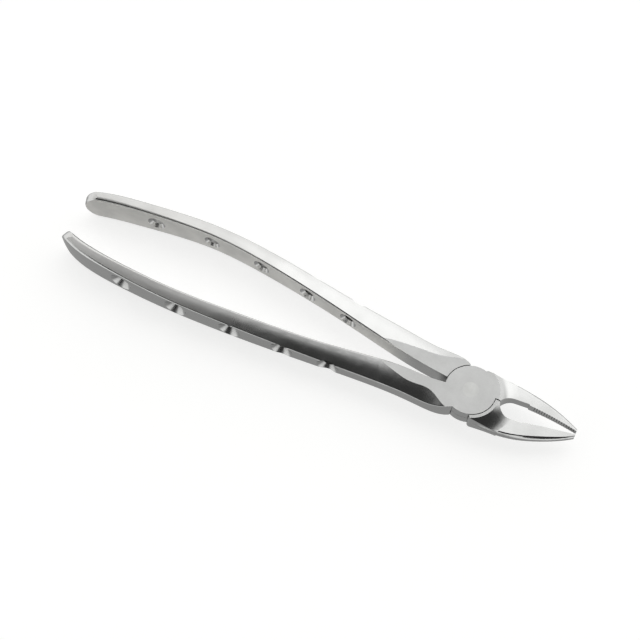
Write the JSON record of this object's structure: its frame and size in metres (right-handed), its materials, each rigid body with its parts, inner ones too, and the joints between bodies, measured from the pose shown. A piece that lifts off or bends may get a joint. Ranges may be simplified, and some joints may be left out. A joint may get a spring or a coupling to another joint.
{
  "type": "extraction forceps",
  "caption": "Steel extraction forceps: two curved handles with a row of countersunk holes, a riveted lap joint, and slender straight beaks that meet at their tips.",
  "frame": {"origin": "centre of the rivet on the joint's lower flat face", "axes": "+X from the joint towards the beak tips, +Z through the rivet to the upper face, +Y towards the handle of the lower-layer half"},
  "size_m": [0.1744, 0.0305, 0.0121],
  "materials": {
    "polished_steel": "satin polished stainless steel, ground flat at the joint",
    "rivet_steel": "peened and ground flush"
  },
  "bodies": {
    "upper_half": {"upper_layer_half": "polished_steel", "joint_rivet": "rivet_steel"},
    "lower_half": {"lower_layer_half": "polished_steel"}
  },
  "joints": [
    {"name": "handle_pivot", "type": "hinge", "parent": "upper_half", "child": "lower_half", "pos_m": [0, 0, 0.00375], "axis": [0, 0, -1], "range_deg": [-1.6, 26]}
  ]
}
